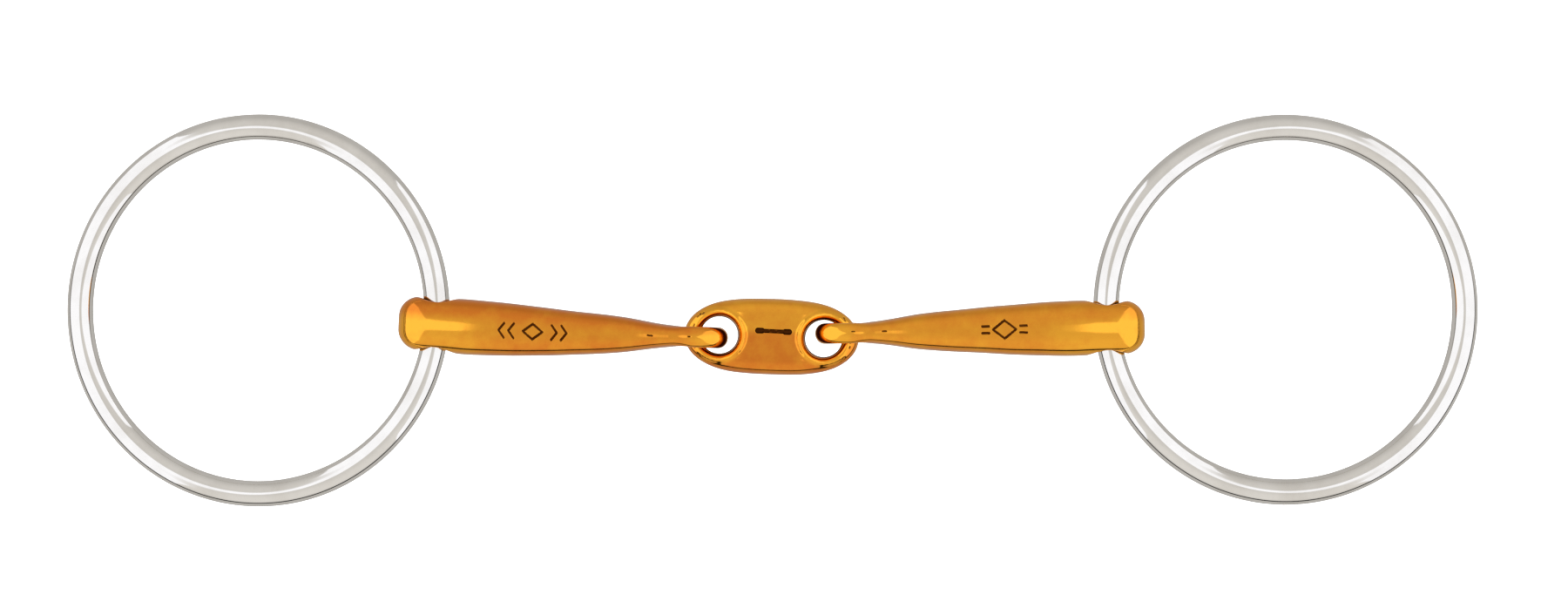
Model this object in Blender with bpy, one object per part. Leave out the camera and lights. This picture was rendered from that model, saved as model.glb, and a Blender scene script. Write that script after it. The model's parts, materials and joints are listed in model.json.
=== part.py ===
"""Loose-ring, double-jointed snaffle bit, lying flat.

Metres, +Z up. X runs along the mouthpiece, Z runs through the thickness, and z = 0 is the table it lies on.
The link is in the middle. Each arm's eye passes through a hole of the link, and each arm's bore holds a ring.
"""

from dataclasses import dataclass
from math import cos, pi, radians, sin, sqrt

import bmesh
import bpy
from mathutils import Matrix, Vector

MM = 0.001

# The link, a flattened casting with a hole near each end. Its outline is |x/a|^3 + |y/b|^2 = 1.
LINK_CENTRE = (-0.32 * MM, -5.45 * MM)
LINK_TURN = radians(-1.9)
LINK_HALF_LENGTH = 18.1 * MM
LINK_HALF_WIDTH = 7.9 * MM
LINK_OUTLINE_POWER = 3.0
LINK_SIDE_POWER = 3.2
LINK_CROWN = 4.1 * MM
LINK_FLAT = 3.9 * MM
LINK_RIM = 2.5 * MM
LINK_CROWN_END = 4.0 * MM
LINK_RIM_START = 12.0 * MM
LINK_NOSE = 1.75 * MM
HOLE_OFFSET = 10.83 * MM
HOLE_RADIUS = 3.8 * MM
HOLE_LIP = 1.4 * MM
HOLE_LIP_HEIGHT = 2.6 * MM
HOLE_CUT_OPENING = 0.5 * MM
HOLE_CUT_MARGIN = 1.0 * MM
LINK_STATIONS = 24
LINK_STATION_SPREAD = radians(86)
LINK_SIDES = 24

# The arms. Distances run outwards from the centre of the eye, which is also the centre of the link's rim in it.
PIVOT_OFFSET = 16.3 * MM
AXIS_HEIGHT = 6.0 * MM
BORE_AT = 53.3 * MM
ARM_END = 61.2 * MM
ARM_END_FILLET = 4.4 * MM
ARM_END_FALL = 6.0 * MM
ARM_HALF_WIDTHS = (  # (distance, half width in the plane of the link)
    (-6.0 * MM, 2.15 * MM),
    (0.0 * MM, 2.25 * MM),
    (4.0 * MM, 2.30 * MM),
    (8.0 * MM, 2.75 * MM),
    (15.0 * MM, 3.80 * MM),
    (26.0 * MM, 4.70 * MM),
    (38.0 * MM, 5.50 * MM),
    (46.5 * MM, 5.80 * MM),
    (52.0 * MM, 5.65 * MM),
    (57.4 * MM, 5.60 * MM),
)
ARM_HALF_HEIGHTS = (  # (distance, half height through the thickness)
    (0.0 * MM, 6.00 * MM),
    (3.0 * MM, 5.85 * MM),
    (7.0 * MM, 5.60 * MM),
    (12.0 * MM, 5.35 * MM),
    (20.0 * MM, 5.30 * MM),
    (32.0 * MM, 5.50 * MM),
    (40.0 * MM, 5.85 * MM),
    (46.5 * MM, 5.90 * MM),
    (54.0 * MM, 5.60 * MM),
    (61.2 * MM, 5.20 * MM),
)
EYE_REACH = 7.3 * MM
EYE_HEIGHT = 6.0 * MM
EYE_WIRE = 2.0 * MM
EYE_HOLE_WIDTH = 2.3 * MM
EYE_CUT_END = 4.0 * MM
EYE_POWERS = (2.0, 4.0)  # how square a cross-section is at the eye, across and through: 2 is an ellipse
BODY_POWERS = (2.6, 2.6)
EYE_BLEND = (4.0 * MM, 16.0 * MM)
ARM_SIDES = 20

# The bore that a ring runs in: straight in the middle, and flared at both mouths.
BORE_RADIUS = 3.3 * MM
BORE_STRAIGHT = 2.5 * MM
BORE_MOUTH = 5.5 * MM
BORE_MOUTH_FLARE = 0.9 * MM
BORE_CUT_END = 6.6 * MM

# The rings: round wire, bent into a ring that is slightly out of round.
RING_RADIUS = 37.7 * MM
WIRE_RADIUS = 2.7 * MM
RING_SEGMENTS = 60
WIRE_SEGMENTS = 16

# How many sides a hole has, and how many steps a rounded edge takes.
HOLE_SIDES = 24
ROUND_STEPS = 8


@dataclass(frozen=True)
class Side:
    """How one arm and its ring lie, and how far their castings are out of true.

    outward is -1 for the left and +1 for the right. play is how far the eye sits off the middle of the rim, and
    bow how far the arm's middle hangs below the line from its eye to its end. ring_slump is how far round the
    ring, below its own middle, the bore holds it.
    """

    name: str
    outward: int
    arm_rise: float
    play: float
    bow: float
    out_of_round: float
    ring_slump: float


LEFT = Side("left", -1, radians(2.87), -0.53 * MM, 0.5 * MM, 0.011, radians(4.17))
RIGHT = Side("right", 1, radians(1.20), 1.30 * MM, 0.0, 0.005, radians(5.62))


def clear_scene():
    """Removes whatever the startup scene holds."""
    for obj in list(bpy.data.objects):
        bpy.data.objects.remove(obj)


def metal(name, colour, roughness):
    """A bare metal finish."""
    material = bpy.data.materials.new(name)
    material.use_nodes = True
    shader = material.node_tree.nodes["Principled BSDF"]
    shader.inputs["Base Color"].default_value = (*colour, 1.0)
    shader.inputs["Metallic"].default_value = 1.0
    shader.inputs["Roughness"].default_value = roughness
    return material


def between(table, at):
    """Reads a smooth curve through the table's points, with the slope at each taken from its neighbours."""
    last = len(table) - 1
    slopes = []
    for i in range(last + 1):
        low, high = table[max(i - 1, 0)], table[min(i + 1, last)]
        slopes.append((high[1] - low[1]) / (high[0] - low[0]))
    at = min(max(at, table[0][0]), table[last][0])
    i = max(j for j in range(last) if table[j][0] <= at)
    (x0, y0), (x1, y1) = table[i], table[i + 1]
    span = x1 - x0
    s = (at - x0) / span
    ease = s * s * (3 - 2 * s)
    leave = slopes[i] * span * s * (1 - s) ** 2
    arrive = slopes[i + 1] * span * s * s * (1 - s)
    return y0 + (y1 - y0) * ease + leave - arrive


def fade(at, start, end):
    """Goes smoothly from 0 at start to 1 at end."""
    s = min(max((at - start) / (end - start), 0.0), 1.0)
    return s * s * (3 - 2 * s)


def signed_power(value, power):
    return abs(value) ** power if value >= 0 else -(abs(value) ** power)


def new_object(name, bm, material=None):
    """Makes an object of a bmesh, with its faces pointing out and its round faces shaded smooth."""
    bmesh.ops.recalc_face_normals(bm, faces=bm.faces)
    mesh = bpy.data.meshes.new(name)
    bm.to_mesh(mesh)
    bm.free()
    mesh.shade_smooth()
    mesh.set_sharp_from_angle(angle=radians(40))
    if material:
        mesh.materials.append(material)
    obj = bpy.data.objects.new(name, mesh)
    bpy.context.scene.collection.objects.link(obj)
    return obj


def skin(bm, loops, closed=False):
    """Joins each loop of points to the next with a band of faces, and caps both ends unless closed."""
    rows = [[bm.verts.new(point) for point in loop] for loop in loops]
    pairs = list(zip(rows, rows[1:]))
    if closed:
        pairs.append((rows[-1], rows[0]))
    for near, far in pairs:
        for i in range(len(near)):
            j = (i + 1) % len(near)
            bm.faces.new((near[i], near[j], far[j], far[i]))
    if not closed:
        bm.faces.new(rows[0])
        bm.faces.new(rows[-1])


def turned(profile, centre, axis, sides):
    """A bmesh turned about an axis, "Y" or "Z", through a centre. The profile is (along, radius) pairs."""
    loops = []
    for along, radius in profile:
        loop = []
        for k in range(sides):
            turn = 2 * pi * k / sides
            across, up = radius * cos(turn), radius * sin(turn)
            offset = (across, along, up) if axis == "Y" else (across, up, along)
            loop.append(Vector(centre) + Vector(offset))
        loops.append(loop)
    bm = bmesh.new()
    skin(bm, loops)
    return bm


def cut(target, cutter):
    """Cuts one object out of another, and hides the cutter."""
    cutter.parent = target
    cutter.hide_render = True
    cutter.display_type = "WIRE"
    modifier = target.modifiers.new(cutter.name, "BOOLEAN")
    modifier.operation = "DIFFERENCE"
    modifier.solver = "EXACT"
    modifier.object = cutter


def link_half_height(x):
    """Half the link's thickness at a distance from its middle: thick in the middle and rounded at the nose."""
    reach = abs(x)
    height = LINK_CROWN + (LINK_RIM - LINK_CROWN) * fade(reach, LINK_CROWN_END, LINK_RIM_START)
    nose = max(reach - (LINK_HALF_LENGTH - LINK_NOSE), 0.0) / LINK_NOSE
    return height * sqrt(max(1 - nose**2, 0.0))


def link_loop(x):
    """One cross-section of the link, cut flat where the middle would rise past the flats."""
    width = LINK_HALF_WIDTH * sqrt(1 - (abs(x) / LINK_HALF_LENGTH) ** LINK_OUTLINE_POWER)
    height = link_half_height(x)
    points = []
    for k in range(LINK_SIDES):
        turn = 2 * pi * k / LINK_SIDES
        y = width * signed_power(cos(turn), 2 / LINK_SIDE_POWER)
        z = height * sin(turn)
        points.append((x, y, min(max(z, -LINK_FLAT), LINK_FLAT)))
    return points


def spread(reach, steps):
    """Angles at even steps from minus reach to reach."""
    return [reach * (2 * k / steps - 1) for k in range(steps + 1)]


def hole_profile():
    """The link's hole, with a rounded lip at each face and a slightly wider opening beyond it."""
    face = LINK_CROWN + HOLE_CUT_MARGIN
    opening = HOLE_RADIUS + HOLE_LIP + HOLE_CUT_OPENING
    lip = [
        (HOLE_LIP_HEIGHT * sin(turn), HOLE_RADIUS + HOLE_LIP * (1 - cos(turn)))
        for turn in spread(radians(80), ROUND_STEPS)
    ]
    return [(-face, opening), *lip, (face, opening)]


def build_link(material):
    """The link: a loft along its length with both holes cut through it."""
    bm = bmesh.new()
    turns = spread(LINK_STATION_SPREAD, LINK_STATIONS)
    skin(bm, [link_loop(LINK_HALF_LENGTH * sin(turn)) for turn in turns])
    link = new_object("centre_link", bm, material)
    link.location = (*LINK_CENTRE, AXIS_HEIGHT)
    link.rotation_euler.z = LINK_TURN
    for name, end in (("left", -1), ("right", 1)):
        hole = turned(hole_profile(), (end * HOLE_OFFSET, 0, 0), "Z", HOLE_SIDES)
        cut(link, new_object(f"link_{name}_hole_cutter", hole))
    return link


def arm_half_width(at):
    """Half the arm's width in the plane of the link."""
    if at < EYE_WIRE - EYE_REACH:
        return ARM_HALF_WIDTHS[0][1] * sqrt(max(1 - ((at + EYE_REACH - EYE_WIRE) / EYE_WIRE) ** 2, 0.0))
    return between(ARM_HALF_WIDTHS, at) - end_fillet(at)


def arm_half_height(at):
    """Half the arm's thickness, which rounds off at the outer end as a quarter of an ellipse."""
    if at < 0:
        return EYE_HEIGHT * sqrt(max(1 - (at / EYE_REACH) ** 2, 0.0))
    fall = max(at - (ARM_END - ARM_END_FALL), 0.0) / ARM_END_FALL
    return between(ARM_HALF_HEIGHTS, at) * sqrt(max(1 - fall**2, 0.0))


def end_fillet(at):
    """How far the rounded end has pulled the sides in."""
    past = max(at - (ARM_END - ARM_END_FILLET), 0.0)
    return ARM_END_FILLET - sqrt(max(ARM_END_FILLET**2 - past**2, 0.0))


def arm_loop(at, side):
    """One cross-section of an arm: a rounded square along the body, and a tall oval at the eye."""
    sag = side.bow * sin(pi * max(at, 0.0) / ARM_END)
    body = fade(at, *EYE_BLEND)
    across, through = (eye + (full - eye) * body for eye, full in zip(EYE_POWERS, BODY_POWERS))
    width, height = arm_half_width(at), arm_half_height(at)
    points = []
    for k in range(ARM_SIDES):
        turn = 2 * pi * k / ARM_SIDES
        y = width * signed_power(cos(turn), 2 / across) - sag
        z = height * signed_power(sin(turn), 2 / through)
        points.append((side.outward * at, y, z))
    return points


def evenly(start, end, steps):
    """Values from start up to, and without, end."""
    return [start + (end - start) * k / steps for k in range(steps)]


def arm_stations():
    """Where the arm's cross-sections lie, closest together at its two rounded ends."""
    fillet_start = ARM_END - ARM_END_FILLET
    tip = [-EYE_REACH * cos(turn) for turn in evenly(radians(9), radians(90), ROUND_STEPS)]
    eye = evenly(0.0, EYE_REACH, 5)
    body = evenly(EYE_REACH, fillet_start, 14)
    cap = [fillet_start + ARM_END_FILLET * sin(turn) for turn in evenly(0.0, radians(99), 7)]
    return tip + eye + body + cap


def eye_profile():
    """The eye's hole, whose wall is rounded so that the eye is a round wire."""
    middle = EYE_REACH - EYE_WIRE
    wall = [
        (EYE_HOLE_WIDTH * sin(turn), middle - EYE_WIRE * cos(turn))
        for turn in spread(radians(85), ROUND_STEPS)
    ]
    return [(-EYE_CUT_END, middle), *wall, (EYE_CUT_END, middle)]


def bore_radius(along):
    """The bore's radius at a distance from its middle."""
    past = max(abs(along) - BORE_STRAIGHT, 0.0) / (BORE_MOUTH - BORE_STRAIGHT)
    return BORE_RADIUS + BORE_MOUTH_FLARE * past**2


def bore_profile():
    """The bore, straight in the middle and flared at both mouths."""
    mouth = [*evenly(BORE_STRAIGHT, BORE_CUT_END, 5), BORE_CUT_END]
    places = [-place for place in reversed(mouth)] + mouth
    return [(place, bore_radius(place)) for place in places]


def eye_centre(side):
    """Where an arm's eye is centred: on the link's rim, and off it sideways by its play."""
    reach = Vector((side.outward * PIVOT_OFFSET, 0.0, 0.0))
    rim = Matrix.Rotation(LINK_TURN, 3, "Z") @ reach
    return Vector((*LINK_CENTRE, AXIS_HEIGHT)) + rim + Vector((0.0, side.play, 0.0))


def arm_turn(side):
    """How far an arm is turned about Z, for both arms to rise outwards."""
    return side.outward * side.arm_rise


def bore_centre(side):
    along = Vector((side.outward * BORE_AT, 0.0, 0.0))
    return eye_centre(side) + Matrix.Rotation(arm_turn(side), 3, "Z") @ along


def build_arm(side, material):
    """One arm, with its origin in the middle of its eye, on the axis that it folds about."""
    bm = bmesh.new()
    skin(bm, [arm_loop(at, side) for at in arm_stations()])
    arm = new_object(f"{side.name}_arm", bm, material)
    arm.location = eye_centre(side)
    arm.rotation_euler.z = arm_turn(side)
    eye = turned(eye_profile(), (0, 0, 0), "Y", HOLE_SIDES)
    cut(arm, new_object(f"{side.name}_eye_cutter", eye))
    bore = turned(bore_profile(), (side.outward * BORE_AT, 0, 0), "Y", HOLE_SIDES)
    cut(arm, new_object(f"{side.name}_bore_cutter", bore))
    return arm


def ring_loops(side):
    """The ring's wire, as circles round an oval whose point in the bore is the origin."""
    long_way = RING_RADIUS * (1 + side.out_of_round)
    short_way = RING_RADIUS * (1 - side.out_of_round)
    centre = Vector((side.outward * short_way * cos(side.ring_slump), long_way * sin(side.ring_slump), 0.0))
    loops = []
    for k in range(RING_SEGMENTS):
        turn = 2 * pi * k / RING_SEGMENTS
        middle = centre + Vector((short_way * cos(turn), long_way * sin(turn), 0.0))
        outward = Vector((long_way * cos(turn), short_way * sin(turn), 0.0)).normalized()
        loop = []
        for i in range(WIRE_SEGMENTS):
            roll = 2 * pi * i / WIRE_SEGMENTS
            loop.append(middle + WIRE_RADIUS * (outward * cos(roll) + Vector((0, 0, sin(roll)))))
        loops.append(loop)
    return loops


def build_ring(side, material):
    """One ring, with its origin in the middle of the bore, tilted about the bore until its far side rests."""
    bm = bmesh.new()
    skin(bm, ring_loops(side), closed=True)
    ring = new_object(f"{side.name}_ring", bm, material)
    bore_axis = Matrix.Rotation(arm_turn(side), 3, "Z") @ Vector((0.0, 1.0, 0.0))
    drop = (AXIS_HEIGHT - WIRE_RADIUS) / (2 * RING_RADIUS)
    tilt = Matrix.Rotation(side.outward * drop, 4, bore_axis)
    ring.matrix_world = Matrix.Translation(bore_centre(side)) @ tilt
    return ring


def main():
    clear_scene()
    copper_alloy = metal("polished_copper_alloy", (0.62, 0.27, 0.04), 0.2)
    stainless = metal("polished_stainless", (0.60, 0.58, 0.55), 0.12)
    build_link(copper_alloy)
    for side in (LEFT, RIGHT):
        build_arm(side, copper_alloy)
        build_ring(side, stainless)


main()
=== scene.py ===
"""Loose-ring, double-jointed snaffle bit: its looks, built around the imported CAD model.

The three castings of the mouthpiece are copper alloy and the two rings are stainless steel. Each piece is
a new mesh that stands for its CAD node, rides on that node's body, and takes its place and its axes from
the frame.

A casting is a solid with soft edges everywhere, so it is written as a field: a function that is negative
inside the metal, zero on its skin and positive outside, in millimetres. The CAD node's own mesh is covered
with small even faces, and each point then slides onto the field's skin. Engraving, pits and worn lips are
terms of the field.
"""

import json
import logging
from collections.abc import Callable
from dataclasses import dataclass
from enum import Enum
from math import cos, pi, radians, sin

import bmesh
import bpy
import numpy as np
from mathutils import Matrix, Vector


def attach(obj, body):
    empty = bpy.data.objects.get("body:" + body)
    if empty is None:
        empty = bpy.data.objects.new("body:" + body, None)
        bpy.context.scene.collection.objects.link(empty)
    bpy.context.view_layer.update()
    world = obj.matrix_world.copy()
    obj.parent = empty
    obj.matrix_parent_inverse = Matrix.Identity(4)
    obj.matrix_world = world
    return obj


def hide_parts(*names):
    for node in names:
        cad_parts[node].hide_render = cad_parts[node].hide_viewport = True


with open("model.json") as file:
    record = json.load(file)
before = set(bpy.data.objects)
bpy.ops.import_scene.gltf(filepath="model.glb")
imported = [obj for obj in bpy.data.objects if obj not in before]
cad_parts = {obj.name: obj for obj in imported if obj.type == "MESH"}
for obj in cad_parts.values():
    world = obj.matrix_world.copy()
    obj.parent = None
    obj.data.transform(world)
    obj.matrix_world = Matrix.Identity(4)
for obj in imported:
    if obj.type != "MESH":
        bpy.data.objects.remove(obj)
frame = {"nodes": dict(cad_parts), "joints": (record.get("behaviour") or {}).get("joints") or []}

MM = 0.001
UP = np.array([0.0, 0.0, 1.0])
SOFTBOX_WHITE = "#F6F8FF"

Field = Callable[[np.ndarray], np.ndarray]

log = logging.getLogger("snaffle_bit")


# --------------------------------------------------------------------------------------------------
# Fields: small vectorised helpers. Lengths are in millimetres.
# --------------------------------------------------------------------------------------------------


def ease(value: np.ndarray, start: float, end: float) -> np.ndarray:
    """Goes smoothly from 0 at start to 1 at end.

    Args:
        value: where to read it.
        start: the value that gives 0.
        end: the value that gives 1.

    Returns:
        One number from 0 to 1 for each value.
    """
    share = np.clip((value - start) / (end - start), 0.0, 1.0)
    return share * share * (3 - 2 * share)


def soft_max(a: np.ndarray, b: np.ndarray, blend: float) -> np.ndarray:
    """The larger of two fields, so what is left where both are solid, with the edge between them worn round.

    Args:
        a: one field's values.
        b: the other's.
        blend: how wide the worn edge is.

    Returns:
        The joined field's values.
    """
    share = np.clip(0.5 + 0.5 * (a - b) / blend, 0.0, 1.0)
    return b + (a - b) * share + blend * share * (1 - share)


def soft_min(a: np.ndarray, b: np.ndarray, blend: float) -> np.ndarray:
    """The smaller of two fields, so both solids together, with a fillet of about blend between them."""
    return -soft_max(-a, -b, blend)


def curve(table: tuple[tuple[float, float], ...], at: np.ndarray) -> np.ndarray:
    """Reads a smooth curve through a table's points, with the slope at each taken from its neighbours.

    Args:
        table: the (place, value) points, in order.
        at: the places to read.

    Returns:
        One value for each place. Past the table's ends, the end values.
    """
    places, values = np.array(table).T
    last = len(places) - 1
    low = np.maximum(np.arange(last + 1) - 1, 0)
    high = np.minimum(np.arange(last + 1) + 1, last)
    slopes = (values[high] - values[low]) / (places[high] - places[low])
    at = np.clip(at, places[0], places[last])
    i = np.clip(np.searchsorted(places, at, side="right") - 1, 0, last - 1)
    span = places[i + 1] - places[i]
    s = (at - places[i]) / span
    leave = slopes[i] * span * s * (1 - s) ** 2
    arrive = slopes[i + 1] * span * s * s * (1 - s)
    return values[i] + (values[i + 1] - values[i]) * s * s * (3 - 2 * s) + leave - arrive


def ripple(points: np.ndarray, wavelength: float, seed: int, waves: int = 7) -> np.ndarray:
    """A gentle random unevenness, as hand polishing leaves: a sum of waves in random directions.

    Args:
        points: where to read it.
        wavelength: about how far apart its crests are.
        seed: picks the directions, so that each piece differs and each run agrees.
        waves: how many waves are summed.

    Returns:
        One number for each point, mostly from -1 to 1.
    """
    rng = np.random.default_rng(seed)
    total = np.zeros(len(points))
    for _ in range(waves):
        direction = rng.normal(size=3)
        direction /= np.linalg.norm(direction)
        stretch = rng.uniform(0.7, 1.6)
        total += np.sin(points @ direction * 2 * pi / (wavelength * stretch) + rng.uniform(0, 2 * pi))
    return total / np.sqrt(waves)


@dataclass(frozen=True)
class Stroke:
    """One engraved line on a casting's front, from start to end, in its (along, across) millimetres."""

    start: tuple[float, float]
    end: tuple[float, float]
    width: float = 0.5
    depth: float = 0.22

    def away(self, along: np.ndarray, across: np.ndarray) -> np.ndarray:
        """How far each point is from the middle of the line."""
        (x0, y0), (x1, y1) = self.start, self.end
        dx, dy = x1 - x0, y1 - y0
        share = np.clip(((along - x0) * dx + (across - y0) * dy) / max(dx * dx + dy * dy, 1e-9), 0.0, 1.0)
        return np.hypot(along - x0 - share * dx, across - y0 - share * dy)

    def cut(self, along: np.ndarray, across: np.ndarray) -> np.ndarray:
        """How deep the line is cut at each point."""
        half = self.width / 2
        return self.depth * (1 - ease(self.away(along, across), 0.45 * half, 1.35 * half))


# --------------------------------------------------------------------------------------------------
# Places and meshes
# --------------------------------------------------------------------------------------------------


@dataclass(frozen=True)
class Place:
    """Axes that stand somewhere on the bit: along, across and up as rows, and an origin in metres."""

    origin: np.ndarray
    axes: np.ndarray

    def local(self, points: np.ndarray) -> np.ndarray:
        """Points of the shared frame, in metres, as seen from here, in millimetres."""
        return (points - self.origin) @ self.axes.T / MM

    def shared(self, points: np.ndarray) -> np.ndarray:
        """Points as seen from here, in millimetres, in the shared frame, in metres."""
        return points * MM @ self.axes + self.origin


def points_of(mesh: bpy.types.Mesh) -> np.ndarray:
    """Every vertex of a mesh, one row each."""
    found = np.empty(len(mesh.vertices) * 3, np.float32)
    mesh.vertices.foreach_get("co", found)
    return found.reshape(-1, 3).astype(float)


def joint(name: str) -> dict:
    """The frame's joint of that name."""
    return next(found for found in frame["joints"] if found["name"] == name)


def slide(points: np.ndarray, solid: Field, steps: int, reach: float = 0.35) -> np.ndarray:
    """Slides points straight onto a field's skin.

    Args:
        points: the points, in millimetres.
        solid: the field, a function of an array of points.
        steps: how many times each point is moved.
        reach: the furthest that a point moves in one step.

    Returns:
        The moved points.
    """
    for _ in range(steps):
        value, slope = solid(points), gradient(points, solid)
        steep = np.maximum((slope**2).sum(axis=1), 0.05)
        move = -(value / steep)[:, None] * slope
        length = np.linalg.norm(move, axis=1, keepdims=True)
        points = points + move * np.minimum(1.0, reach / np.maximum(length, 1e-9))
    return points


def gradient(points: np.ndarray, solid: Field, step: float = 0.01) -> np.ndarray:
    """Which way a field grows, and how fast, from readings on both sides of each point.

    Args:
        points: where to read it, in millimetres.
        solid: the field.
        step: how far on each side the field is read.

    Returns:
        The field's slope at each point.
    """
    slope = np.empty_like(points)
    for axis in range(3):
        offset = np.zeros(3)
        offset[axis] = step
        slope[:, axis] = (solid(points + offset) - solid(points - offset)) / (2 * step)
    return slope


def relax(points: np.ndarray, edges: np.ndarray, share: float) -> np.ndarray:
    """Moves each point part of the way to the middle of its neighbours, which evens out the faces."""
    total, count = np.zeros_like(points), np.zeros(len(points))
    for here, there in (edges.T, edges.T[::-1]):
        for axis in range(3):
            total[:, axis] += np.bincount(here, points[there, axis], len(points))
        count += np.bincount(here, minlength=len(points))
    return points + share * (total / np.maximum(count, 1)[:, None] - points)


def covered(node: str, voxel: float) -> bpy.types.Mesh:
    """A copy of a CAD node's mesh, covered again with small even faces.

    Args:
        node: the CAD node's name.
        voxel: the size of the new faces, in millimetres.

    Returns:
        The new mesh, in the shared frame.
    """
    helper = bpy.data.objects.new("helper", frame["nodes"][node].data.copy())
    bpy.context.scene.collection.objects.link(helper)
    modifier = helper.modifiers.new("cover", "REMESH")
    modifier.mode = "VOXEL"
    modifier.voxel_size = voxel * MM
    graph = bpy.context.evaluated_depsgraph_get()
    mesh = bpy.data.meshes.new_from_object(helper.evaluated_get(graph), depsgraph=graph)
    spare = helper.data
    bpy.data.objects.remove(helper)
    bpy.data.meshes.remove(spare)
    return mesh


def refined(mesh: bpy.types.Mesh, wanted: np.ndarray, cuts: int) -> None:
    """Splits the faces that have a wanted vertex into smaller ones.

    Args:
        mesh: the mesh to change.
        wanted: one truth value for each vertex.
        cuts: how many times each edge is cut.
    """
    bm = bmesh.new()
    bm.from_mesh(mesh)
    bm.verts.ensure_lookup_table()
    edges = {edge for i in np.flatnonzero(wanted) for edge in bm.verts[i].link_edges}
    faces = {face for edge in edges for face in edge.link_faces}
    edges |= {edge for face in faces for edge in face.edges}
    ordered = sorted(edges, key=lambda edge: edge.index)
    bmesh.ops.subdivide_edges(bm, edges=ordered, cuts=cuts, use_grid_fill=True)
    bmesh.ops.triangulate(bm, faces=[face for face in bm.faces if len(face.verts) > 4])
    bm.to_mesh(mesh)
    bm.free()


def put_values(mesh: bpy.types.Mesh, name: str, values: np.ndarray) -> None:
    """Keeps one number for each vertex on the mesh, for its material to read."""
    attribute = mesh.attributes.new(name, "FLOAT", "POINT")
    attribute.data.foreach_set("value", values.astype(np.float32))


def put_vectors(mesh: bpy.types.Mesh, name: str, values: np.ndarray) -> None:
    """Keeps one vector for each vertex on the mesh, for its material to read."""
    attribute = mesh.attributes.new(name, "FLOAT_VECTOR", "POINT")
    attribute.data.foreach_set("vector", values.astype(np.float32).ravel())


def install(mesh: bpy.types.Mesh, name: str, material: bpy.types.Material) -> bpy.types.Object:
    """Makes the piece that stands for one CAD node and rides on its body.

    Args:
        mesh: the piece's mesh, in the shared frame.
        name: the CAD node's name, which is also its body's.
        material: the piece's finish.

    Returns:
        The piece.
    """
    mesh.materials.clear()
    mesh.materials.append(material)
    piece = bpy.data.objects.new(f"{name}_finished", mesh)
    bpy.context.scene.collection.objects.link(piece)
    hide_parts(name)
    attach(piece, name)
    log.info("%s: %d faces, for %s", piece.name, len(mesh.polygons), name)
    return piece


# --------------------------------------------------------------------------------------------------
# Finishes
# --------------------------------------------------------------------------------------------------


class Slot(Enum):
    """The record's material slots."""

    COPPER_ALLOY = "polished_copper_alloy"
    STAINLESS = "polished_stainless"


def linear(colour: str) -> tuple[float, float, float, float]:
    """An sRGB hex colour such as #C08040 as linear red, green, blue and alpha."""
    shares = [int(colour[i : i + 2], 16) / 255 for i in (1, 3, 5)]
    red, green, blue = (s / 12.92 if s <= 0.04045 else ((s + 0.055) / 1.055) ** 2.4 for s in shares)
    return red, green, blue, 1.0


def add_node(tree: bpy.types.NodeTree, kind: str, settings: dict | None = None,
             **links: object) -> bpy.types.Node:
    """Adds a node with its settings and links.

    Args:
        tree: where it goes.
        kind: its Blender type, such as ShaderNodeMath.
        settings: its properties by name.
        links: its inputs by name, with _ for a space, or by number as i0, i1 and so on. Each is a value,
            or an output socket to link.

    Returns:
        The node.
    """
    node = tree.nodes.new(kind)
    for name, value in (settings or {}).items():
        setattr(node, name, value)
    for name, value in links.items():
        key = int(name[1:]) if name[1:].isdigit() else name.replace("_", " ")
        socket = node.inputs[key]
        if isinstance(value, bpy.types.NodeSocket):
            tree.links.new(value, socket)
        else:
            socket.default_value = value
    return node


def new_material(name: str) -> tuple[bpy.types.Material, bpy.types.NodeTree, bpy.types.Node]:
    """An empty material with a Principled shader on its output.

    Args:
        name: the material's name.

    Returns:
        The material, its node tree and the shader.
    """
    material = bpy.data.materials.new(name)
    material.use_nodes = True
    tree = material.node_tree
    tree.nodes.clear()
    shader = add_node(tree, "ShaderNodeBsdfPrincipled")
    add_node(tree, "ShaderNodeOutputMaterial", Surface=shader.outputs[0])
    return material, tree, shader


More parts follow.
